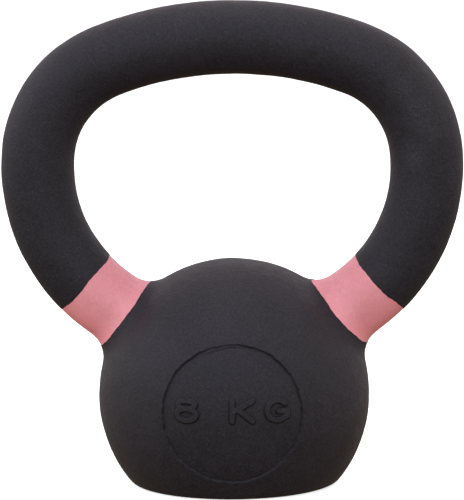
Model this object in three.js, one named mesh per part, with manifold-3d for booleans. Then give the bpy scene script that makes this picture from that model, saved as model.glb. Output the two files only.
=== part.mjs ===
// An 8 kg kettlebell: one solid iron casting (ball, horns and handle in one pour), a black
// powder coat over the ball and over the handle, and a painted colour band round each horn.
// Millimetres, +Z up, origin at the centre of the flat base. The handle lies in the XZ plane,
// and the weight roundel faces -Y.
import * as THREE from "three";
import { mergeVertices } from "three/addons/utils/BufferGeometryUtils.js";
import Module from "manifold-3d";

const wasm = await Module();
wasm.setup();

// ---- Driving dimensions -------------------------------------------------------------------

const ball = {
  radius: 59.5,
  centreHeight: 39.2, // above the flat base
  baseEdgeRadius: 4,
};

// The handle's centreline is a chain of tangent arcs: crown, shoulder, flank, then a straight
// horn that points at the ball's centre.
const handle = {
  radius: 16,
  crownHeight: 196, // centreline, at its highest
  crownRadius: 156,
  crownSweep: THREE.MathUtils.degToRad(20), // each side of the middle
  shoulderRadius: 48,
  shoulderSweep: THREE.MathUtils.degToRad(66),
  flankRadius: 73.5,
};

const rootFillet = 12.6; // between horn and ball, all round

// Colour band on each horn: where its two edges cross the horn's axis, measured from the ball's
// centre, and how far it leans outwards on the horn's low side.
const band = {
  nearReach: 58.9,
  nearLean: THREE.MathUtils.degToRad(3),
  farReach: 81.8,
  farLean: THREE.MathUtils.degToRad(6),
};

const roundel = {
  radius: 30,
  depth: 0.8,
  centreHeight: 38.9,
};

const weightMark = {
  height: 11, // of the characters
  width: 11,
  stroke: 2.4,
  places: { 8: -19.5, K: 4.5, G: 19.5 }, // each one's middle, across the roundel
  lift: 2.2, // the mark's middle above the roundel's
  proud: 0.7, // above the roundel's floor
};

const coatThickness = 0.5;
const gap = 0.3; // between neighbouring solids

// ---- Facets -------------------------------------------------------------------------------

const facets = {
  ballSides: 40,
  ballArc: 16,
  edgeArc: 2,
  tubeSides: 20,
  tubeStep: THREE.MathUtils.degToRad(9), // of bend, between two rings
  filletArc: 5,
  roundel: 40,
};

// ---- Materials ----------------------------------------------------------------------------

const materials = {
  iron: new THREE.MeshStandardMaterial({ color: 0x5a5b5e, roughness: 0.6, metalness: 0.9 }),
  blackCoat: new THREE.MeshStandardMaterial({ color: 0x2f2d32, roughness: 0.75, metalness: 0 }),
  pinkPaint: new THREE.MeshStandardMaterial({ color: 0xdc8891, roughness: 0.55, metalness: 0 }),
};

// ---- Solids and meshes --------------------------------------------------------------------

function solidFrom(geometry) {
  const bare = geometry.clone();
  bare.deleteAttribute("normal");
  bare.deleteAttribute("uv");
  const merged = mergeVertices(bare, 1e-4);
  return new wasm.Manifold(
    new wasm.Mesh({
      numProp: 3,
      vertProperties: merged.getAttribute("position").array,
      triVerts: new Uint32Array(merged.index.array),
    }),
  );
}

function meshFrom(solid, name, material) {
  const { vertProperties, triVerts } = solid.getMesh();
  const geometry = new THREE.BufferGeometry();
  geometry.setAttribute("position", new THREE.BufferAttribute(vertProperties, 3));
  geometry.setIndex(new THREE.BufferAttribute(triVerts, 1));
  geometry.computeVertexNormals();
  const mesh = new THREE.Mesh(geometry, material);
  mesh.name = name;
  return mesh;
}

// ---- Ball ---------------------------------------------------------------------------------

// The ball with its surface moved in by inset: a sphere cut by the flat base, with a rounded
// edge between the two.
function ballSolid(inset) {
  const { radius, centreHeight, baseEdgeRadius } = ball;
  const edgeCentreX = Math.sqrt(
    (radius - baseEdgeRadius) ** 2 - (centreHeight - baseEdgeRadius) ** 2,
  );
  const edgeEnd = Math.atan2(baseEdgeRadius - centreHeight, edgeCentreX);
  const edge = new THREE.Path();
  edge.absarc(edgeCentreX, baseEdgeRadius, baseEdgeRadius - inset, -Math.PI / 2, edgeEnd);
  const outline = [new THREE.Vector2(0, inset), ...edge.getPoints(facets.edgeArc)];
  for (let i = 1; i <= facets.ballArc; i++) {
    const angle = THREE.MathUtils.lerp(edgeEnd, Math.PI / 2, i / facets.ballArc);
    const x = i < facets.ballArc ? (radius - inset) * Math.cos(angle) : 0;
    outline.push(new THREE.Vector2(x, centreHeight + (radius - inset) * Math.sin(angle)));
  }
  return solidFrom(new THREE.LatheGeometry(outline, facets.ballSides).rotateX(Math.PI / 2));
}

// ---- Handle loop --------------------------------------------------------------------------

// Centres and joint angles of the arcs on the +X half, in the XZ plane.
function handleArcs() {
  const { crownRadius, crownSweep, shoulderRadius, shoulderSweep, flankRadius } = handle;
  const along = (angle) => new THREE.Vector2(Math.cos(angle), Math.sin(angle));
  const crownEnd = Math.PI / 2 - crownSweep;
  const shoulderEnd = crownEnd - shoulderSweep;
  const crown = new THREE.Vector2(0, handle.crownHeight - crownRadius);
  const shoulder = crown.clone().addScaledVector(along(crownEnd), crownRadius - shoulderRadius);
  const flank = shoulder.clone().addScaledVector(along(shoulderEnd), shoulderRadius - flankRadius);
  // The flank ends where its tangent passes through the ball's centre.
  const toBall = new THREE.Vector2(0, ball.centreHeight).sub(flank);
  const flankEnd = toBall.angle() - 2 * Math.PI + Math.acos(flankRadius / toBall.length());
  return {
    crown,
    shoulder,
    flank,
    crownEnd,
    shoulderEnd,
    flankEnd,
    hornAngle: flankEnd + Math.PI / 2,
  };
}

const arcs = handleArcs();
const hornAxis = new THREE.Vector2(Math.cos(arcs.hornAngle), Math.sin(arcs.hornAngle));

// Rings along the +X half, from the crown's middle down into the ball. Each has its centre, the
// direction in the XZ plane that its radius is measured along, and its radius.
function halfRings(inset) {
  const rings = [];
  const addArc = (centre, radius, from, to) => {
    const steps = Math.max(2, Math.round(Math.abs(from - to) / facets.tubeStep));
    for (let i = 0; i < steps; i++) {
      const angle = THREE.MathUtils.lerp(from, to, i / steps);
      const out = new THREE.Vector2(Math.cos(angle), Math.sin(angle));
      const middle = centre.clone().addScaledVector(out, radius);
      rings.push({ middle, out, radius: handle.radius - inset });
    }
  };
  addArc(arcs.crown, handle.crownRadius, Math.PI / 2, arcs.crownEnd);
  addArc(arcs.shoulder, handle.shoulderRadius, arcs.crownEnd, arcs.shoulderEnd);
  addArc(arcs.flank, handle.flankRadius, arcs.shoulderEnd, arcs.flankEnd);

  // Straight horn: it flares into the ball along a fillet that is tangent to both.
  const out = new THREE.Vector2(Math.cos(arcs.flankEnd), Math.sin(arcs.flankEnd));
  const addOnHorn = (reach, radius) => {
    const middle = new THREE.Vector2(0, ball.centreHeight).addScaledVector(hornAxis, reach);
    rings.push({ middle, out, radius });
  };
  const centreSpan = ball.radius + rootFillet;
  const filletRise = handle.radius + rootFillet;
  const filletReach = Math.sqrt(centreSpan ** 2 - filletRise ** 2);
  const filletRadius = rootFillet + inset;
  const filletSweep = Math.asin(filletReach / centreSpan);
  for (let i = 0; i <= facets.filletArc; i++) {
    const angle = (filletSweep * i) / facets.filletArc;
    addOnHorn(
      filletReach - filletRadius * Math.sin(angle),
      filletRise - filletRadius * Math.cos(angle),
    );
  }
  addOnHorn(ball.radius / 2, handle.radius / 2); // ends well inside the ball
  return rings;
}

function loopSolid(inset) {
  const half = halfRings(inset);
  const mirrored = half
    .slice(1)
    .reverse()
    .map(({ middle, out, radius }) => ({
      middle: new THREE.Vector2(-middle.x, middle.y),
      out: new THREE.Vector2(-out.x, out.y),
      radius,
    }));
  const rings = [...mirrored, ...half];
  const sides = facets.tubeSides;
  const positions = [];
  const indices = [];
  for (const { middle, out, radius } of rings) {
    for (let side = 0; side < sides; side++) {
      const turn = (2 * Math.PI * side) / sides;
      const rise = radius * Math.cos(turn);
      positions.push(middle.x + out.x * rise, radius * Math.sin(turn), middle.y + out.y * rise);
    }
  }
  for (let ring = 0; ring + 1 < rings.length; ring++) {
    for (let side = 0; side < sides; side++) {
      const a = ring * sides + side;
      const b = ring * sides + ((side + 1) % sides);
      indices.push(a, a + sides, b, b, a + sides, b + sides);
    }
  }
  // A fan closes each end.
  const first = positions.length / 3;
  for (const { middle } of [rings[0], rings[rings.length - 1]]) {
    positions.push(middle.x, 0, middle.y);
  }
  const lastRing = (rings.length - 1) * sides;
  for (let side = 0; side < sides; side++) {
    const next = (side + 1) % sides;
    indices.push(first, side, next);
    indices.push(first + 1, lastRing + next, lastRing + side);
  }
  const geometry = new THREE.BufferGeometry();
  geometry.setAttribute("position", new THREE.Float32BufferAttribute(positions, 3));
  geometry.setIndex(indices);
  return solidFrom(geometry);
}

// ---- Roundel and weight mark --------------------------------------------------------------

// Everything in front of the roundel's floor, which is a shallower sphere inside the ball's.
function roundelCutter(inset) {
  const length = ball.radius;
  const disc = new THREE.CylinderGeometry(
    roundel.radius + inset,
    roundel.radius + inset,
    length,
    facets.roundel,
  );
  disc.translate(0, -length / 2 - ball.radius / 2, roundel.centreHeight);
  return solidFrom(disc).subtract(ballSolid(inset + roundel.depth));
}

// A straight or bent stroke of one character, as a closed outline round its middle line.
function strokeShape(points) {
  const half = weightMark.stroke / 2;
  const side = (sign) =>
    points.map((point, i) => {
      const before = points[Math.max(i - 1, 0)];
      const after = points[Math.min(i + 1, points.length - 1)];
      const along = after.clone().sub(before).normalize();
      return new THREE.Vector2(-along.y, along.x).multiplyScalar(sign * half).add(point);
    });
  return new THREE.Shape([...side(-1), ...side(1).reverse()]);
}

function arcPoints(x, y, radiusX, radiusY, from, to) {
  const curve = new THREE.EllipseCurve(x, y, radiusX, radiusY, from, to, from > to);
  return curve.getPoints(10);
}

// Outlines of 8, K and G, each about its own middle.
function characterShapes() {
  const { height, width, stroke } = weightMark;
  const top = (height - stroke) / 2;
  const right = (width - stroke) / 2;
  const bowl = (radiusX, radiusY, y) => {
    const ring = new THREE.Shape();
    ring.absellipse(0, y, radiusX + stroke / 2, radiusY + stroke / 2, 0, 2 * Math.PI);
    const hole = new THREE.Path();
    hole.absellipse(0, y, radiusX - stroke / 2, radiusY - stroke / 2, 0, 2 * Math.PI);
    ring.holes.push(hole);
    return ring;
  };
  const line = (...pairs) => strokeShape(pairs.map(([x, y]) => new THREE.Vector2(x, y)));
  const waist = 0.08 * height;
  return {
    8: [
      bowl(right * 0.88, (top - waist) / 2, (top + waist) / 2),
      bowl(right, (top + waist) / 2, (waist - top) / 2),
    ],
    K: [
      line([-right, -height / 2], [-right, height / 2]),
      line([right, height / 2], [-right, 0]),
      line([-right * 0.5, 0], [right, -height / 2]),
    ],
    G: [
      strokeShape(arcPoints(0, 0, right, top, Math.PI * 0.25, Math.PI * 1.8)),
      line([right, -top * 0.75], [right, -stroke / 4]),
      line([0, -stroke / 4], [right + stroke / 2, -stroke / 4]),
    ],
  };
}

// The raised weight mark, cut to a thin skin that stands on the roundel's floor.
function weightMarkSolid() {
  const shapes = characterShapes();
  const reach = ball.radius - roundel.depth + weightMark.proud;
  const solids = Object.entries(weightMark.places).flatMap(([character, place]) =>
    shapes[character].map((shape) => {
      const block = new THREE.ExtrudeGeometry(shape, {
        depth: ball.radius,
        bevelEnabled: false,
        curveSegments: 8,
      });
      block.rotateX(Math.PI / 2);
      block.translate(place, 0, roundel.centreHeight + weightMark.lift);
      return solidFrom(block);
    }),
  );
  const mark = solids.reduce((whole, solid) => whole.add(solid));
  const shell = ballSolid(ball.radius - reach).subtract(ballSolid(roundel.depth + gap));
  return mark.intersect(shell);
}

// ---- Whole surface, bands and coats -------------------------------------------------------

// The finished kettlebell with its surface moved in by inset.
function bodySolid(inset) {
  return ballSolid(inset).add(loopSolid(inset)).subtract(roundelCutter(inset));
}

// A block that holds one horn between the band's two edges, each edge moved out by grow.
function bandBlock(side, grow) {
  const reachAcross = 3 * handle.radius;
  const edge = (reach, lean) => {
    const middle = new THREE.Vector2(0, ball.centreHeight).addScaledVector(hornAxis, reach);
    const angle = arcs.hornAngle + lean - Math.PI / 2;
    const across = new THREE.Vector2(Math.cos(angle), Math.sin(angle)).multiplyScalar(reachAcross);
    return [middle.clone().sub(across), middle.clone().add(across)];
  };
  const [a, b] = edge(band.nearReach - grow, band.nearLean);
  const [c, d] = edge(band.farReach + grow, band.farLean);
  const block = new THREE.ExtrudeGeometry(new THREE.Shape([a, b, d, c]), {
    depth: 4 * handle.radius,
    bevelEnabled: false,
  });
  block.rotateX(Math.PI / 2).translate(0, 2 * handle.radius, 0);
  if (side < 0) block.rotateZ(Math.PI);
  return solidFrom(block);
}

const ironCasting = bodySolid(coatThickness + gap);
const skin = bodySolid(0).subtract(bodySolid(coatThickness));
const bandSides = { left: -1, right: 1 };
const bands = Object.entries(bandSides).map(([name, side]) =>
  meshFrom(skin.intersect(bandBlock(side, -gap / 2)), `${name}_colour_band`, materials.pinkPaint),
);

// What the bands leave of the skin falls into two: the coat on the ball and the coat on the
// handle.
const coats = Object.values(bandSides)
  .reduce((rest, side) => rest.subtract(bandBlock(side, gap / 2)), skin)
  .decompose()
  .sort((a, b) => a.boundingBox().min[2] - b.boundingBox().min[2]);
const [ballCoat, handleCoat] = coats;

const kettlebell = new THREE.Group();
kettlebell.add(
  meshFrom(ironCasting, "iron_casting", materials.iron),
  meshFrom(ballCoat.add(weightMarkSolid()), "ball_powder_coat", materials.blackCoat),
  meshFrom(handleCoat, "handle_powder_coat", materials.blackCoat),
  ...bands,
);

export default kettlebell;
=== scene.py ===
import math

import bpy
import numpy as np
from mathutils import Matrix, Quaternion, Vector


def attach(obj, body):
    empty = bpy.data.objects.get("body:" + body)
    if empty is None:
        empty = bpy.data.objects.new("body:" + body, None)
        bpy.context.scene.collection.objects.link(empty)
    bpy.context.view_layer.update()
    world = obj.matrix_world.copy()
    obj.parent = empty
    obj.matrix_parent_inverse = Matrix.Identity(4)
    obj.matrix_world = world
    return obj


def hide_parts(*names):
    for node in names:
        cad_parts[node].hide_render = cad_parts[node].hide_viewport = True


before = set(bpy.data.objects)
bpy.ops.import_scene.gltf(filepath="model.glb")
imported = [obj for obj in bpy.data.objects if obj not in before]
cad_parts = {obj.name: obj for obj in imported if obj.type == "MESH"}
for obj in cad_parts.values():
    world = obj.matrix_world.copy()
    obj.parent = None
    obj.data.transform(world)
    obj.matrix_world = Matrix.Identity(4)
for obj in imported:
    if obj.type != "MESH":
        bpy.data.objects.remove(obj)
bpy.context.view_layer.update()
mm = 0.001

# Helpers for working as by hand


def deselectAll():
    if bpy.context.object and bpy.context.object.mode != "OBJECT":
        bpy.ops.object.mode_set(mode="OBJECT")
    bpy.ops.object.select_all(action="DESELECT")


def takeUp(piece):
    deselectAll()
    piece.select_set(True)
    bpy.context.view_layer.objects.active = piece


def pointsOf(piece):
    points = np.empty(len(piece.data.vertices) * 3, np.float32)
    piece.data.vertices.foreach_get("co", points)
    return points.reshape(-1, 3).astype(float)


def setPoints(piece, points):
    piece.data.vertices.foreach_set("co", points.astype(np.float32).ravel())
    piece.data.update()


def faceMiddles(piece):
    middles = np.empty(len(piece.data.polygons) * 3, np.float32)
    piece.data.polygons.foreach_get("center", middles)
    return middles.reshape(-1, 3).astype(float)


# Leaves the piece in edit mode with just these faces selected.
def selectFaces(piece, chosen):
    takeUp(piece)
    bpy.ops.object.mode_set(mode="EDIT")
    bpy.ops.mesh.select_mode(type="FACE")
    bpy.ops.mesh.select_all(action="DESELECT")
    bpy.ops.object.mode_set(mode="OBJECT")
    piece.data.polygons.foreach_set("select", chosen)
    bpy.ops.object.mode_set(mode="EDIT")


def finishModifiers(piece):
    takeUp(piece)
    for modifier in list(piece.modifiers):
        bpy.ops.object.modifier_apply(modifier=modifier.name)


def trianglesIn(piece):
    return sum(len(face.vertices) - 2 for face in piece.data.polygons)


# The whole bell as one blank

bell = {
    "ballRadius": 59.5 * mm,
    "ballHeight": 39.2 * mm,
    "baseEdge": 4 * mm,
    "gripRadius": 16 * mm,
    "crownHeight": 196 * mm,
    "crownRadius": 156 * mm,
    "crownSweep": math.radians(20),
    "shoulderRadius": 48 * mm,
    "shoulderSweep": math.radians(66),
    "flankRadius": 73.5 * mm,
    "rootFillet": 12.6 * mm,
    "ballSweep": math.radians(132),  # round the ball from each horn's axis, past the middle
    "ringPoints": 96,
    "crownSteps": 20,
    "shoulderSteps": 30,
    "flankSteps": 36,
    "filletSteps": 14,
    "ballSteps": 60,
    "edgeSteps": 8,
    "cutThreshold": 1e-6,
    "mirrorMerge": 0.02 * mm,
}

ballCentre = Vector((0, 0, bell["ballHeight"]))


def along(angle):
    return Vector((math.cos(angle), 0, math.sin(angle)))


# The handle's arcs: crown, shoulder and flank, each tangent to the next. The flank ends where
# its tangent runs through the ball's centre.
crownCentre = Vector((0, 0, bell["crownHeight"] - bell["crownRadius"]))
crownEnd = math.pi / 2 - bell["crownSweep"]
shoulderCentre = crownCentre + along(crownEnd) * (bell["crownRadius"] - bell["shoulderRadius"])
shoulderEnd = crownEnd - bell["shoulderSweep"]
flankCentre = shoulderCentre + along(shoulderEnd) * (bell["shoulderRadius"] - bell["flankRadius"])
toBall = ballCentre - flankCentre
flankEnd = math.atan2(toBall.z, toBall.x) + math.acos(bell["flankRadius"] / toBall.length)
hornAngle = flankEnd + math.pi / 2


def spinRing(centre, sweep, steps):
    bpy.ops.mesh.spin(steps=steps, angle=sweep, center=centre, axis=(0, -1, 0))


# Extrudes the selected ring along the horn's axis to a new reach and radius.
def nextRing(ring, reach, radius):
    bpy.ops.mesh.extrude_edges_move()
    move = along(hornAngle) * (reach - ring["reach"])
    bpy.ops.transform.translate(value=move)
    grow = radius / ring["radius"]
    middle = ballCentre + along(hornAngle) * reach
    bpy.ops.transform.resize(value=(grow, grow, grow), center_override=middle)
    ring["reach"] = reach
    ring["radius"] = radius


# Cuts what is selected with a plane and throws away what lies behind it.
def cutBelow(point, normal):
    threshold = bell["cutThreshold"]
    bpy.ops.mesh.bisect(plane_co=point, plane_no=normal, clear_inner=True, threshold=threshold)


def buildBlank():
    deselectAll()
    bpy.ops.mesh.primitive_circle_add(
        vertices=bell["ringPoints"],
        radius=bell["gripRadius"],
        location=(0, 0, bell["crownHeight"]),
        rotation=(0, math.pi / 2, 0),
    )
    blank = bpy.context.object
    blank.name = "blank"
    bpy.ops.object.transform_apply(location=True, rotation=True, scale=True)
    bpy.ops.object.mode_set(mode="EDIT")
    bpy.ops.mesh.select_all(action="SELECT")
    spinRing(crownCentre, bell["crownSweep"], bell["crownSteps"])
    spinRing(shoulderCentre, bell["shoulderSweep"], bell["shoulderSteps"])
    spinRing(flankCentre, shoulderEnd - flankEnd, bell["flankSteps"])

    # straight horn, fillet, then round the ball
    span = bell["ballRadius"] + bell["rootFillet"]
    rise = bell["gripRadius"] + bell["rootFillet"]
    run = math.sqrt(span**2 - rise**2)
    ring = {"reach": toBall.dot(-along(hornAngle)), "radius": bell["gripRadius"]}
    sweep = math.asin(run / span)
    for i in range(bell["filletSteps"] + 1):
        angle = sweep * i / bell["filletSteps"]
        reach = run - bell["rootFillet"] * math.sin(angle)
        nextRing(ring, reach, rise - bell["rootFillet"] * math.cos(angle))
    start = math.atan2(ring["radius"], ring["reach"])
    for i in range(1, bell["ballSteps"] + 1):
        angle = start + (bell["ballSweep"] - start) * i / bell["ballSteps"]
        reach = bell["ballRadius"] * math.cos(angle)
        nextRing(ring, reach, bell["ballRadius"] * math.sin(angle))

    bpy.ops.mesh.select_all(action="SELECT")
    cutBelow((0, 0, 0), (1, 0, 0))
    bpy.ops.object.mode_set(mode="OBJECT")
    mirror = blank.modifiers.new("mirror", "MIRROR")
    mirror.merge_threshold = bell["mirrorMerge"]
    finishModifiers(blank)

    # flat base with its rounded edge
    edge = bell["baseEdge"]
    edgeRun = math.sqrt((bell["ballRadius"] - edge) ** 2 - (bell["ballHeight"] - edge) ** 2)
    edgeStart = math.atan2(edge - bell["ballHeight"], edgeRun)
    bpy.ops.object.mode_set(mode="EDIT")
    bpy.ops.mesh.select_all(action="SELECT")
    level = edge + edge * math.sin(edgeStart)
    radius = edgeRun + edge * math.cos(edgeStart)
    cutBelow((0, 0, level), (0, 0, 1))
    for i in range(1, bell["edgeSteps"] + 1):
        angle = edgeStart + (-math.pi / 2 - edgeStart) * i / bell["edgeSteps"]
        newLevel = edge + edge * math.sin(angle)
        newRadius = edgeRun + edge * math.cos(angle)
        bpy.ops.mesh.extrude_edges_move()
        bpy.ops.transform.translate(value=(0, 0, newLevel - level))
        grow = newRadius / radius
        bpy.ops.transform.resize(value=(grow, grow, 1), center_override=(0, 0, newLevel))
        level, radius = newLevel, newRadius
    bpy.ops.mesh.edge_face_add()
    bpy.ops.mesh.select_all(action="SELECT")
    bpy.ops.mesh.normals_make_consistent(inside=False)
    bpy.ops.object.mode_set(mode="OBJECT")
    return blank


# Even quads all over, then the low swells that a sand casting has.
casting = {
    "voxel": 1.15 * mm,
    "settleTimes": 6,
    "settleFactor": 0.5,
    "swellSize": 24 * mm,
    "swellHeight": 0.5 * mm,
    "rippleSize": 5 * mm,
    "rippleHeight": 0.12 * mm,
    "flatBelow": 0.2 * mm,  # the base stays flat
    "swollenAbove": 5 * mm,
    "leastWeight": 0.001,
}


def addSwell(piece, name, size, height, group=""):
    clouds = bpy.data.textures.new(name, "CLOUDS")
    clouds.noise_scale = size
    clouds.noise_depth = 1
    swell = piece.modifiers.new(name, "DISPLACE")
    swell.texture = clouds
    swell.texture_coords = "LOCAL"
    swell.strength = height
    swell.mid_level = 0.5
    swell.vertex_group = group


def addSettle(piece, group=""):
    settle = piece.modifiers.new("settle", "SMOOTH")
    settle.factor = casting["settleFactor"]
    settle.iterations = casting["settleTimes"]
    settle.vertex_group = group


# Moves the surface out by this distance, or in where it is negative.
def addPush(piece, name, distance, group=""):
    push = piece.modifiers.new(name, "DISPLACE")
    push.strength = distance
    push.mid_level = 0
    push.vertex_group = group


def addGroup(piece, name, weights):
    group = piece.vertex_groups.new(name=name)
    for index in np.flatnonzero(weights > casting["leastWeight"]):
        group.add([int(index)], float(weights[index]), "REPLACE")
    return name


# Ripples round a full turn, added up: how many, how high and where each one starts.
def ripples(turn, waves):
    return sum(height * np.sin(count * turn + start) for count, height, start in waves)


# One ripple round a full turn, as above, whose waves crowd together and spread out by turns.
def unevenRipple(turn, count, height, start, swing, swings):
    return height * np.sin(count * turn + start + swing * np.sin(swings * turn))


# Keeps a number between 0 and 1 on each point, for the piece's finish to read.
def paintPoints(piece, name, values):
    layer = piece.data.attributes.new(name, "FLOAT", "POINT")
    layer.data.foreach_set("value", values.astype(np.float32))


def easeStep(value, low, high):
    t = np.clip((value - low) / (high - low), 0, 1)
    return t * t * (3 - 2 * t)


blank = buildBlank()
remesh = blank.modifiers.new("evenQuads", "REMESH")
remesh.mode = "VOXEL"
remesh.voxel_size = casting["voxel"]
addSettle(blank)
finishModifiers(blank)
offBase = easeStep(pointsOf(blank)[:, 2], casting["flatBelow"], casting["swollenAbove"])
aboveBase = addGroup(blank, "aboveBase", offBase)
addSwell(blank, "castSwell", casting["swellSize"], casting["swellHeight"], aboveBase)
addSwell(blank, "castRipple", casting["rippleSize"], casting["rippleHeight"], aboveBase)
finishModifiers(blank)
print("blank", trianglesIn(blank), "triangles")

# Masked edges between black and pink

# Where each masked edge runs round its horn, in mm: reach along the horn from the ball's
# centre, and how far it leans out on the low side, bows at the front and wanders. The turn
# sets where its waves start.
maskEdges = {
    "leftNear": {"side": -1, "reach": 58.9, "lean": 0.2, "bow": 0.3, "wander": 0.25, "turn": 0.4},
    "leftFar": {"side": -1, "reach": 82.3, "lean": 1.6, "bow": -0.8, "wander": 0.3, "turn": 2.1},
    "rightNear": {"side": 1, "reach": 59.0, "lean": 1.4, "bow": -1.1, "wander": 0.3, "turn": 1.2},
    "rightFar": {"side": 1, "reach": 81.1, "lean": 1.7, "bow": -0.8, "wander": 0.35, "turn": 5.2},
}
parting = {
    "cutReach": 5 * mm,  # faces this near a masked edge are cut
    "cutRadius": 26 * mm,
    "edgeReach": 2 * mm,  # open points this near a masked edge belong to it
    "ballWithin": 66 * mm,  # black this near the ball's centre is the ball's
    "handleBeyond": 74 * mm,  # black past this is the handle's
    "crownBeyond": 90 * mm,  # and all past this is black
}


def hornAxis(side):
    return np.array([side * math.cos(hornAngle), 0, math.sin(hornAngle)])


# Reach along a horn, distance from its axis, and turn round it: 0 on the low side, a quarter
# turn at the front.
def roundHorn(points, side):
    axis = hornAxis(side)
    low = np.array([side * math.sin(hornAngle), 0, -math.cos(hornAngle)])
    offset = points - np.array(ballCentre)
    reach = offset @ axis
    across = offset - np.outer(reach, axis)
    turn = np.arctan2(-across[:, 1], across @ low)
    return reach, np.linalg.norm(across, axis=1), turn


# How far the masked edge runs out along the horn at each turn.
def maskRun(edge, turn):
    phase = edge["turn"]
    waves = ((3, 1, phase), (5, 0.6, 2 * phase), (11, 0.25, 3 * phase), (29, 0.2, 5 * phase))
    wander = edge["wander"] * ripples(turn, waves)
    return (edge["lean"] * np.cos(turn) + edge["bow"] * np.sin(turn) + wander) * mm


# The horn is straightened by the edge's wander, cut square, and let back.
def cutMaskEdge(piece, edge):
    axis = hornAxis(edge["side"])
    points = pointsOf(piece)
    reach, radius, turn = roundHorn(points, edge["side"])
    setPoints(piece, points - np.outer(maskRun(edge, turn), axis))
    middles = faceMiddles(piece)
    reach, radius, turn = roundHorn(middles, edge["side"])
    close = np.abs(reach - edge["reach"] * mm) < parting["cutReach"]
    close &= (radius < parting["cutRadius"]) & (middles[:, 0] * edge["side"] > 0)
    selectFaces(piece, close)
    cut = ballCentre + Vector(axis) * edge["reach"] * mm
    bpy.ops.mesh.bisect(plane_co=cut, plane_no=Vector(axis), threshold=bell["cutThreshold"])
    bpy.ops.object.mode_set(mode="OBJECT")
    points = pointsOf(piece)
    reach, radius, turn = roundHorn(points, edge["side"])
    setPoints(piece, points + np.outer(maskRun(edge, turn), axis))


for edge in maskEdges.values():
    cutMaskEdge(blank, edge)


def beyondEdge(middles, edge):
    reach, radius, turn = roundHorn(middles, edge["side"])
    return reach - maskRun(edge, turn) - edge["reach"] * mm > 0


middles = faceMiddles(blank)
fromCentre = np.linalg.norm(middles - np.array(ballCentre), axis=1)
onRight = middles[:, 0] > 0
pastNear = np.where(
    onRight,
    beyondEdge(middles, maskEdges["rightNear"]),
    beyondEdge(middles, maskEdges["leftNear"]),
)
pastFar = np.where(
    onRight,
    beyondEdge(middles, maskEdges["rightFar"]),
    beyondEdge(middles, maskEdges["leftFar"]),
)
onBall = (fromCentre < parting["ballWithin"]) & ~pastNear
onHandle = (fromCentre > parting["handleBeyond"]) & pastFar
onHandle |= fromCentre > parting["crownBeyond"]
onBand = ~onBall & ~onHandle


def copyOut(name, keep):
    takeUp(blank)
    bpy.ops.object.duplicate()
    piece = bpy.context.object
    piece.name = name
    piece.data.name = name
    selectFaces(piece, ~keep)
    bpy.ops.mesh.delete(type="FACE")
    bpy.ops.object.mode_set(mode="OBJECT")
    piece.vertex_groups.clear()
    return piece


ballCoat = copyOut("ballCoat", onBall)
handleCoat = copyOut("handleCoat", onHandle)
rightBand = copyOut("rightBand", onBand & onRight)
leftBand = copyOut("leftBand", onBand & ~onRight)
bpy.data.objects.remove(blank)
print("parted into ball coat, handle coat and two bands")

# Edges of the black coat and of the paint

rim = {
    "lip": 0.22 * mm,  # how far black runs on over the paint
    "lipDrop": 0.03 * mm,
    "toe": 0.12 * mm,
    "toeDrop": 0.14 * mm,
    "depth": 0.75 * mm,  # down to the iron
    "paintLow": 0.12 * mm,  # paint lies this much lower than the black
}


def selectOpenEdge(piece, edge):
    takeUp(piece)
    bpy.ops.object.mode_set(mode="EDIT")
    bpy.ops.mesh.select_mode(type="EDGE")
    bpy.ops.mesh.select_all(action="DESELECT")
    bpy.ops.mesh.select_non_manifold(
        extend=False,
        use_wire=False,
        use_boundary=True,
        use_multi_face=False,
        use_non_contiguous=False,
        use_verts=False,
    )
    bpy.ops.object.mode_set(mode="OBJECT")
    points = pointsOf(piece)
    reach, radius, turn = roundHorn(points, edge["side"])
    here = np.abs(reach - maskRun(edge, turn) - edge["reach"] * mm) < parting["edgeReach"]
    here &= points[:, 0] * edge["side"] > 0
    for line in piece.data.edges:
        line.select = line.select and bool(here[line.vertices[0]])
    for vertex in piece.data.vertices:
        vertex.select = False
    bpy.ops.object.mode_set(mode="EDIT")


# Carries the selected rim on along the horn and in towards its axis.
def extrudeRim(side, reach, run, drop):
    axis = Vector(hornAxis(side))
    bpy.ops.mesh.extrude_edges_move()
    bpy.ops.transform.translate(value=axis * run)
    shrink = 1 - drop / bell["gripRadius"]
    middle = ballCentre + axis * reach
    bpy.ops.transform.resize(value=(shrink, shrink, shrink), center_override=middle)


# outward is 1 or -1 along the horn where black laps over the paint, and 0 on the paint itself.
def finishRim(piece, edge, outward):
    side = edge["side"]
    reach = edge["reach"] * mm
    selectOpenEdge(piece, edge)
    if outward:
        extrudeRim(side, reach, outward * rim["lip"], rim["lipDrop"])
        extrudeRim(side, reach, outward * rim["toe"], rim["toeDrop"])
    extrudeRim(side, reach, 0, rim["depth"])
    bpy.ops.object.mode_set(mode="OBJECT")


for band in (leftBand, rightBand):
    addPush(band, "paintLow", -rim["paintLow"])
    finishModifiers(band)

for name, edge in maskEdges.items():
    band = rightBand if edge["side"] > 0 else leftBand
    if name.endswith("Near"):
        finishRim(ballCoat, edge, 1)
    else:
        finishRim(handleCoat, edge, -1)
    finishRim(band, edge, 0)
print("rims turned in")

# Roundel with its raised weight mark

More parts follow.
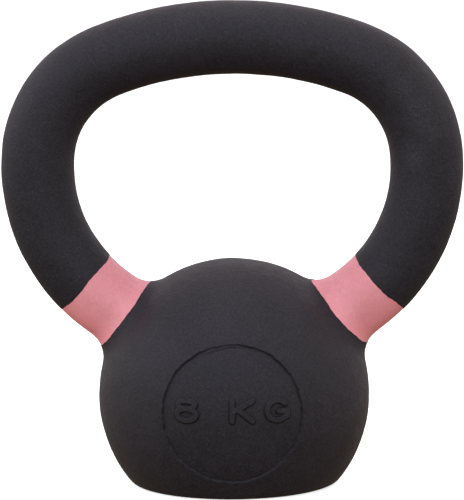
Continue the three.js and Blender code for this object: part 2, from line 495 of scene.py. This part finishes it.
roundel = {
    "radius": 30 * mm,
    "height": 38.9 * mm,
    "depth": 0.8 * mm,
    "wall": 0.4 * mm,
    "ledge": 1.2 * mm,  # second step inside the rim, along the top
    "ledgeShare": 0.5,  # of the depth
    "ledgeFades": ((1.4, 1.52), (2.05, 1.86)),  # turns, in radians, where it starts and stops
    "ledgeWander": ((7, 0.25, 0),),
    "lumpSize": 3.5 * mm,
    "lumpHeight": 0.1 * mm,
    "wander": ((2, 0.16, 0.6), (5, 0.12, 2.2), (13, 0.1, 1.0), (29, 0.1, 4.0)),  # in mm
    "tremble": (53, 0.08, 0.3, 2, 3),  # in mm
    "softness": ((1, 0.35, 3.6), (4, 0.2, 0.5)),
    "margin": 3 * mm,  # finer faces run on this far past the rim
    "rimBand": 2 * mm,
    "markBand": 0.8 * mm,
    # painted shade at the foot of the rim and of the characters: its fade, mean strength and
    # breaks
    "creaseShadeFades": (0.1 * mm, 0.6 * mm),
    "creaseShadeMean": 0.7,
    "creaseShadeBreaks": (17, 0.3, 0, 3, 4),
    "frontFades": (20 * mm, 30 * mm),
    "settleFades": (36 * mm, 32 * mm),
}
mark = {
    "height": 11 * mm,
    "width": 11 * mm,
    "stroke": 2.4 * mm,
    "lift": 2.2 * mm,  # its middle above the roundel's
    "proud": 0.8 * mm,
    "draft": 0.4 * mm,  # width of the sloping sides
    "places": (-19.5 * mm, 4.5 * mm, 19.5 * mm),
}


def arcRun(centreY, radiusX, radiusY, start, stop, steps=28):
    turns = [math.radians(start + (stop - start) * i / steps) for i in range(steps + 1)]
    return [(radiusX * math.cos(t), centreY + radiusY * math.sin(t)) for t in turns]


# Middle lines of the strokes of 8, K and G, each about its own centre.
def markStrokes():
    top = (mark["height"] - mark["stroke"]) / 2
    side = (mark["width"] - mark["stroke"]) / 2
    waist = 0.08 * mark["height"]
    upper = arcRun((top + waist) / 2, side * 0.84, (top - waist) / 2, 0, 360)
    lower = arcRun((waist - top) / 2, side * 0.95, (top + waist) / 2, 0, 360)
    kay = [[(-side, -top), (-side, top)], [(side, top), (-side, -0.1 * top)]]
    kay.append([(-0.4 * side, 0.18 * top), (side, -top)])
    gee = [arcRun(0, side, top, 42, 322), [(0.15 * side, -0.08 * top), (side, -0.08 * top)]]
    gee.append([(side, -0.08 * top), (side, -0.62 * top)])
    return zip(mark["places"], ([upper, lower], kay, gee))


# Distance of each point, in the roundel's plane, from the nearest stroke's middle line.
def distanceToMark(x, y):
    nearest = np.full(len(x), 1.0)
    for place, strokes in markStrokes():
        for stroke in strokes:
            for (ax, ay), (bx, by) in zip(stroke, stroke[1:]):
                runX, runY = bx - ax, by - ay
                offX, offY = x - place - ax, y - mark["lift"] - ay
                share = np.clip((offX * runX + offY * runY) / (runX**2 + runY**2), 0, 1)
                gap = np.hypot(offX - share * runX, offY - share * runY)
                nearest = np.minimum(nearest, gap)
    return nearest


def inRoundel(points, margin):
    level = points[:, 2] - roundel["height"]
    return (points[:, 1] < 0) & (np.hypot(points[:, 0], level) < roundel["radius"] + margin)


# Finer faces over the roundel, and finer again at its rim and at the mark.
middles = faceMiddles(ballCoat)
selectFaces(ballCoat, inRoundel(middles, roundel["margin"]))
bpy.ops.mesh.subdivide(number_cuts=1)
bpy.ops.object.mode_set(mode="OBJECT")
middles = faceMiddles(ballCoat)
level = middles[:, 2] - roundel["height"]
rimMiddle = roundel["radius"] - roundel["wall"]
nearRim = np.abs(np.hypot(middles[:, 0], level) - rimMiddle) < roundel["rimBand"]
nearMark = distanceToMark(middles[:, 0], level) < mark["stroke"] / 2 + roundel["markBand"]
selectFaces(ballCoat, inRoundel(middles, roundel["margin"]) & (nearRim | nearMark))
bpy.ops.mesh.subdivide(number_cuts=1)
bpy.ops.object.mode_set(mode="OBJECT")

points = pointsOf(ballCoat)
x = points[:, 0]
level = points[:, 2] - roundel["height"]
out = np.hypot(x, level)
turn = np.arctan2(level, x)
front = easeStep(-points[:, 1], *roundel["frontFades"])
settleGroup = addGroup(ballCoat, "settle", front * easeStep(out, *roundel["settleFades"]))
addSettle(ballCoat, settleGroup)
finishModifiers(ballCoat)

# The rim was pressed by hand into the sand, so it wanders, and it is stepped along the top.
jitter = ripples(turn, roundel["wander"]) + unevenRipple(turn, *roundel["tremble"])
edgeAt = roundel["radius"] + jitter * mm
half = roundel["wall"] / 2 * (1 + ripples(turn, roundel["softness"]))
outerStep = easeStep(out, edgeAt + half, edgeAt - half)
innerAt = edgeAt - roundel["ledge"] * (1 + ripples(turn, roundel["ledgeWander"]))
innerStep = easeStep(out, innerAt + half, innerAt - half)
ledgeStart, ledgeStop = roundel["ledgeFades"]
stepped = easeStep(turn, *ledgeStart) * easeStep(turn, *ledgeStop) * roundel["ledgeShare"]
sunk = (outerStep * (1 - stepped) + innerStep * stepped) * front
raised = distanceToMark(x, level) - mark["stroke"] / 2
raised = easeStep(raised, mark["draft"] / 2, -mark["draft"] / 2) * front

sunkGroup = addGroup(ballCoat, "sunk", sunk)
raisedGroup = addGroup(ballCoat, "raised", raised)
addSwell(ballCoat, "floorLumps", roundel["lumpSize"], roundel["lumpHeight"], sunkGroup)
addPush(ballCoat, "press", -roundel["depth"], sunkGroup)
addPush(ballCoat, "lift", mark["proud"], raisedGroup)
finishModifiers(ballCoat)
ballCoat.vertex_groups.clear()

# Painted shade: the coat is darkened in the corners at the foot of the rim and of the characters.
markFoot = np.abs(distanceToMark(x, level) - mark["stroke"] / 2 - mark["draft"] / 2)
rimFoot = np.abs(out - (edgeAt - half))
broken = roundel["creaseShadeMean"] + unevenRipple(turn, *roundel["creaseShadeBreaks"])
creaseShade = (1 - easeStep(rimFoot, *roundel["creaseShadeFades"])) * broken
creaseShade = np.maximum(creaseShade, 1 - easeStep(markFoot, *roundel["creaseShadeFades"])) * front
paintPoints(ballCoat, "creaseShade", creaseShade)
print("roundel pressed and mark raised")

# Painted light on the low side of each horn, where the turn's cosine is 1: the paint there is
# made brighter and redder.
# The high side, where it is -1, is left thin.
lowSideLightAndThinPaint = {"run": (0.1, 0.9), "thin": (0.1, -0.8)}
for band, side in ((leftBand, -1), (rightBand, 1)):
    reach, radius, turn = roundHorn(pointsOf(band), side)
    for name, fades in lowSideLightAndThinPaint.items():
        paintPoints(band, name, easeStep(np.cos(turn), *fades))
print("bands painted")

# Finishes


class Wire:
    def __init__(self, tree, socket):
        self.tree = tree
        self.socket = socket

    def math(self, operation, *values):
        node = self.tree.nodes.new("ShaderNodeMath")
        node.operation = operation
        for slot, value in zip(node.inputs, values):
            plug(self.tree, slot, value)
        return Wire(self.tree, node.outputs[0])

    def __add__(self, other):
        return self.math("ADD", self, other)

    def __radd__(self, other):
        return self.math("ADD", other, self)

    def __mul__(self, other):
        return self.math("MULTIPLY", self, other)

    def __rmul__(self, other):
        return self.math("MULTIPLY", other, self)


def plug(tree, slot, value):
    if isinstance(value, Wire):
        tree.links.new(value.socket, slot)
    else:
        slot.default_value = value


class Finish:
    def __init__(self, name, shown):
        self.material = bpy.data.materials.new(name)
        self.material.use_nodes = True
        self.material.diffuse_color = (*shown, 1)
        self.tree = self.material.node_tree
        self.shader = self.tree.nodes["Principled BSDF"]
        self.place = self.node("ShaderNodeTexCoord", {}, {}, "Object")

    # Any node: its settings first, then values or wires for its sockets, by name or number.
    def node(self, kind, settings, sockets, output=0):
        node = self.tree.nodes.new(kind)
        for name, value in settings.items():
            setattr(node, name, value)
        for name, value in sockets.items():
            plug(self.tree, node.inputs[name], value)
        return Wire(self.tree, node.outputs[output])

    # Noise between 0 and 1 with features of about this size.
    def noise(self, size, detail=2.0, roughness=0.5, distortion=0.0):
        sockets = {"Vector": self.place, "Scale": 1 / size, "Detail": detail}
        sockets.update({"Roughness": roughness, "Distortion": distortion})
        return self.node("ShaderNodeTexNoise", {}, sockets, "Fac")

    def range(self, value, low, high, newLow=0.0, newHigh=1.0):
        sockets = {"Value": value, "From Min": low, "From Max": high}
        sockets.update({"To Min": newLow, "To Max": newHigh})
        return self.node("ShaderNodeMapRange", {"clamp": True}, sockets)

    def blend(self, share, first, second):
        settings = {"data_type": "RGBA"}
        return self.node("ShaderNodeMix", settings, {0: share, 6: first, 7: second}, 2)

    # What was painted on the piece's own points under this name.
    def painted(self, name):
        settings = {"attribute_type": "GEOMETRY", "attribute_name": name}
        return self.node("ShaderNodeAttribute", settings, {}, "Fac")

    # 1 at the middle, falling to 0 at this distance from it.
    def near(self, middle, size):
        sockets = {0: self.place, 1: middle}
        gap = self.node("ShaderNodeVectorMath", {"operation": "DISTANCE"}, sockets, "Value")
        return self.range(gap, 0.0, size, 1.0, 0.0)

    def bump(self, height, distance, strength=1.0, under=None):
        sockets = {"Height": height, "Distance": distance, "Strength": strength}
        if under:
            sockets["Normal"] = under
        return self.node("ShaderNodeBump", {}, sockets)

    # A sheet that shows from its top side only.
    def openFromBelow(self):
        below = self.node("ShaderNodeNewGeometry", {}, {}, "Backfacing")
        clear = self.node("ShaderNodeBsdfTransparent", {}, {})
        solid = Wire(self.tree, self.shader.outputs[0])
        mixed = self.node("ShaderNodeMixShader", {}, {0: below, 1: solid, 2: clear})
        plug(self.tree, self.tree.nodes["Material Output"].inputs["Surface"], mixed)

    def set(self, **values):
        for name, value in values.items():
            plug(self.tree, self.shader.inputs[name.replace("_", " ")], value)


def colour(red, green, blue):
    return (red, green, blue, 1)


blackCoat = {
    "dark": colour(0.0125, 0.011, 0.014),
    "light": colour(0.032, 0.028, 0.036),
    # painted shade for the corners of the roundel and the feet of the characters
    "creaseShade": colour(0.006, 0.0045, 0.0065),
    "fleck": colour(0.06, 0.056, 0.064),
    # noises: size, detail, roughness and distortion
    "grain": (0.85 * mm, 3, 0.7),
    "peel": (2.4 * mm, 2, 0.5, 0.3),
    "clouds": (24 * mm, 3, 0.6),
    "patches": (5 * mm, 3, 0.55, 0.6),
    "flecks": (1.1 * mm, 1, 0.4),
    "streaks": (0.9 * mm, 3, 0.7, 1.5),
    "grainHeight": 0.18 * mm,
    "peelHeight": 0.18 * mm,
    "shares": (0.14, 0.18, 0.68),  # of clouds, patches and grain in the tone
    "contrast": (0.36, 0.64),
    "fleckRange": (0.7, 0.78),
    "fleckShare": 0.5,
    "streakRange": (0.42, 0.7),
    "creaseShadeShare": 0.75,
    "roughRange": (0.3, 0.7),
    "roughness": (0.53, 0.65),
    "shine": 0.2,
    # rubbed places: middle, size and strength
    "rubs": (
        ((73 * mm, -14 * mm, 174 * mm), 8 * mm, 0.8),
        ((80 * mm, -15 * mm, 164 * mm), 9 * mm, 1.0),
        ((86 * mm, -12 * mm, 156 * mm), 8 * mm, 1.0),
        ((78 * mm, -16 * mm, 145 * mm), 8 * mm, 1.1),
        ((-19 * mm, -4 * mm, 208 * mm), 1.6 * mm, 2.5),
        ((21 * mm, -57 * mm, 52 * mm), 3 * mm, 0.8),
    ),
}
pinkPaint = {
    "deep": colour(0.76, 0.27, 0.295),
    "pale": colour(0.89, 0.36, 0.39),
    "run": colour(0.98, 0.34, 0.37),  # painted light, brighter and redder on the low side of each band
    "thin": colour(0.68, 0.225, 0.265),  # streaks on the high side
    "lowSideLightShare": 0.85,
    "thinShare": 0.7,
    "clouds": (9 * mm, 3, 0.6, 0.5),
    "strokes": (3 * mm, 4, 0.65, 2.5),
    "grain": (0.9 * mm, 3, 0.6),
    "cloudHeight": 0.15 * mm,
    "grainHeight": 0.04 * mm,
    "shares": (0.4, 0.3, 0.3),  # of clouds, strokes and grain in the tone
    "contrast": (0.38, 0.62),
    "streakRange": (0.35, 0.62),
    "roughness": 0.5,
    "shine": 0.3,
}
greyIron = {
    "dark": colour(0.13, 0.13, 0.135),
    "light": colour(0.24, 0.235, 0.23),
    "grain": (0.7 * mm, 4, 0.6),
    "patches": (9 * mm, 3, 0.5),
    "grainHeight": 0.06 * mm,
    "shares": (0.6, 0.4),  # of patches and grain in the tone
    "contrast": (0.35, 0.65),
    "roughRange": (0.3, 0.7),
    "roughness": (0.55, 0.75),
    "metal": 0.85,
}


def makeBlackCoat():
    look = blackCoat
    finish = Finish("blackPowderCoat", (0.03, 0.028, 0.03))
    grain = finish.noise(*look["grain"])
    peel = finish.noise(*look["peel"])
    clouds = finish.noise(*look["clouds"])
    patches = finish.noise(*look["patches"])
    cloudShare, patchShare, grainShare = look["shares"]
    tone = cloudShare * clouds + patchShare * patches + grainShare * grain
    base = finish.blend(finish.range(tone, *look["contrast"]), look["dark"], look["light"])
    flecks = finish.range(finish.noise(*look["flecks"]), *look["fleckRange"])
    flecks = flecks * look["fleckShare"]
    streaks = finish.range(finish.noise(*look["streaks"]), *look["streakRange"])
    for middle, size, strength in look["rubs"]:
        flecks = flecks + finish.near(middle, size) * streaks * strength
    base = finish.blend(finish.range(flecks, 0.0, 1.0), base, look["fleck"])
    # Painted shade in the corners of the roundel and at the foot of the characters.
    creaseShade = finish.painted("creaseShade") * look["creaseShadeShare"]
    base = finish.blend(creaseShade, base, look["creaseShade"])
    rough = finish.range(patches, *look["roughRange"], *look["roughness"])
    under = finish.bump(peel, look["peelHeight"])
    normal = finish.bump(grain, look["grainHeight"], 1.0, under)
    finish.set(Base_Color=base, Roughness=rough, Normal=normal)
    finish.set(Specular_IOR_Level=look["shine"])
    return finish.material


def makePinkPaint():
    look = pinkPaint
    finish = Finish("pinkPaint", (0.7, 0.28, 0.31))
    clouds = finish.noise(*look["clouds"])
    strokes = finish.noise(*look["strokes"])
    grain = finish.noise(*look["grain"])
    cloudShare, strokeShare, grainShare = look["shares"]
    tone = cloudShare * clouds + strokeShare * strokes + grainShare * grain
    base = finish.blend(finish.range(tone, *look["contrast"]), look["deep"], look["pale"])
    # Painted light: the low side of each band is blended towards the brighter, redder run colour.
    base = finish.blend(finish.painted("run") * look["lowSideLightShare"], base, look["run"])
    streaks = finish.range(strokes, *look["streakRange"]) * finish.painted("thin")
    base = finish.blend(streaks * look["thinShare"], base, look["thin"])
    under = finish.bump(clouds, look["cloudHeight"])
    normal = finish.bump(grain, look["grainHeight"], 1.0, under)
    finish.set(Base_Color=base, Roughness=look["roughness"], Normal=normal)
    finish.set(Specular_IOR_Level=look["shine"])
    return finish.material


def makeIron():
    look = greyIron
    finish = Finish("greyIron", (0.2, 0.2, 0.21))
    grain = finish.noise(*look["grain"])
    patches = finish.noise(*look["patches"])
    patchShare, grainShare = look["shares"]
    tone = patchShare * patches + grainShare * grain
    base = finish.blend(finish.range(tone, *look["contrast"]), look["dark"], look["light"])
    rough = finish.range(grain, *look["roughRange"], *look["roughness"])
    normal = finish.bump(grain, look["grainHeight"])
    finish.set(Base_Color=base, Roughness=rough, Normal=normal, Metallic=look["metal"])
    return finish.material


blackMaterial = makeBlackCoat()
pinkMaterial = makePinkPaint()
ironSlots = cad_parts["iron_casting"].data.materials
ironSlots.clear()
ironSlots.append(makeIron())
print("finishes mixed")

pieces = {
    "ball_powder_coat": (ballCoat, blackMaterial, "black_coat"),
    "handle_powder_coat": (handleCoat, blackMaterial, "black_coat"),
    "left_colour_band": (leftBand, pinkMaterial, "pink_paint"),
    "right_colour_band": (rightBand, pinkMaterial, "pink_paint"),
}
smoothUnder = math.radians(50)
for node, (piece, material, slot) in pieces.items():
    takeUp(piece)
    piece.data.materials.clear()
    piece.data.materials.append(material)
    bpy.ops.object.shade_smooth_by_angle(angle=smoothUnder)
    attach(piece, "root")
    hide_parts(node)
    print(piece.name, trianglesIn(piece), "triangles")

# Floor, light and camera

studio = {
    "floorSize": 40,
    "floorDrop": 0.05 * mm,  # under the base, so that the two don't share a plane
    "floor": colour(0.86, 0.86, 0.86),
    "floorGlow": 0.72,
    "backdropRadius": 18,
    "backdropGlow": 1.0,
    "air": 1.1,
    "aimHeight": 100 * mm,
    # colour of the air from straight below to straight above, by height on a unit sphere
    "airStops": (
        (0.06, (0.15, 0.11, 0.06)),
        (0.31, (0.27, 0.21, 0.13)),
        (0.5, (0.9, 0.75, 0.73)),
        (0.67, (0.9, 0.95, 1.0)),
        (0.82, (0.12, 0.12, 0.12)),
        (0.93, (0.34, 0.34, 0.34)),
    ),
    # softboxes: turn from the front and height in degrees, distance, size, power and colour
    "boxes": {
        "topBox": (0, 89, 2.0, (1.2, 1.2), 18, (1, 1, 1)),
        "leftBox": (-90, 30, 0.7, (0.52, 0.46), 1.65, (0.92, 0.96, 1)),
        "rightBox": (90, 40, 0.8, (0.56, 0.28), 1.28, (1, 0.85, 0.8)),
        "frontBox": (-8, 30, 2.0, (2.4, 0.7), 16.5, (0.7, 0.85, 1)),
        "backBox": (180, 40, 2.0, (3.2, 0.7), 13.5, (1, 0.75, 0.8)),
    },
}

deselectAll()
place = (0, 0, -studio["floorDrop"])
bpy.ops.mesh.primitive_plane_add(size=studio["floorSize"], location=place)
floor = bpy.context.object
floor.name = "studioFloor"
floorFinish = Finish("paleFloor", (0.9, 0.9, 0.9))
floorFinish.set(Base_Color=studio["floor"], Roughness=0.9)
floorFinish.set(Emission_Color=colour(1, 1, 1), Emission_Strength=studio["floorGlow"])
floorFinish.openFromBelow()
floor.data.materials.append(floorFinish.material)
for ray in ("diffuse", "glossy", "shadow"):
    setattr(floor, "visible_" + ray, False)

# Only the camera sees the backdrop, and the light comes through it.
radius = studio["backdropRadius"]
bpy.ops.mesh.primitive_uv_sphere_add(segments=48, ring_count=24, radius=radius)
backdrop = bpy.context.object
backdrop.name = "studioBackdrop"
backdropFinish = Finish("paleBackdrop", (0.95, 0.95, 0.95))
backdropFinish.set(Base_Color=colour(0, 0, 0), Emission_Color=colour(1, 1, 1))
backdropFinish.set(Emission_Strength=studio["backdropGlow"], Specular_IOR_Level=0.0)
backdrop.data.materials.append(backdropFinish.material)
for ray in ("diffuse", "glossy", "transmission", "volume_scatter", "shadow"):
    setattr(backdrop, "visible_" + ray, False)


def addSoftbox(name, turn, height, distance, size, power, shade):
    turn, height = math.radians(turn), math.radians(height)
    level = distance * math.cos(height)
    aim = Vector((0, 0, studio["aimHeight"]))
    place = aim + Vector((math.sin(turn) * level, -math.cos(turn) * level, 0))
    place.z += distance * math.sin(height)
    bpy.ops.object.light_add(type="AREA", location=place)
    lamp = bpy.context.object
    lamp.name = name
    lamp.data.shape = "RECTANGLE"
    lamp.data.size, lamp.data.size_y = size
    lamp.data.energy = power
    lamp.data.color = shade
    lamp.visible_camera = False
    lamp.rotation_euler = (aim - place).to_track_quat("-Z", "Y").to_euler()


for name, settings in studio["boxes"].items():
    addSoftbox(name, *settings)

world = bpy.data.worlds.new("studioAir")
bpy.context.scene.world = world
world.use_nodes = True
tree = world.node_tree
direction = tree.nodes.new("ShaderNodeTexCoord")
split = tree.nodes.new("ShaderNodeSeparateXYZ")
tree.links.new(direction.outputs["Generated"], split.inputs[0])
rise = Wire(tree, split.outputs["Z"]) * 0.5 + 0.5
ramp = tree.nodes.new("ShaderNodeValToRGB")
while len(ramp.color_ramp.elements) < len(studio["airStops"]):
    ramp.color_ramp.elements.new(0.5)
for stop, (position, shade) in zip(ramp.color_ramp.elements, studio["airStops"]):
    stop.position = position
    stop.color = colour(*shade)
plug(tree, ramp.inputs["Fac"], rise)
background = tree.nodes["Background"]
plug(tree, background.inputs["Color"], Wire(tree, ramp.outputs["Color"]))
background.inputs["Strength"].default_value = studio["air"]
bpy.context.scene.view_settings.view_transform = "Standard"

lens = {
    "aim": Vector((-0.39 * mm, 0, 102.66 * mm)),
    "distance": 1.6,
    "azimuth": math.radians(1.2),
    "elevation": math.radians(7.4),
    "roll": math.radians(-0.6),
    "millimetres": 175.35,
    "sensor": 24.0,
}
level = math.cos(lens["elevation"])
towards = Vector((math.sin(lens["azimuth"]) * level, -math.cos(lens["azimuth"]) * level, 0))
towards.z = math.sin(lens["elevation"])
bpy.ops.object.camera_add(location=lens["aim"] + towards * lens["distance"])
camera = bpy.context.object
upright = (-towards).to_track_quat("-Z", "Y")
camera.rotation_euler = (upright @ Quaternion((0, 0, 1), lens["roll"])).to_euler()
camera.data.sensor_fit = "VERTICAL"
camera.data.sensor_height = lens["sensor"]
camera.data.lens = lens["millimetres"]
camera.data.dof.use_dof = False
bpy.context.scene.camera = camera
deselectAll()
print("studio lit and camera set")
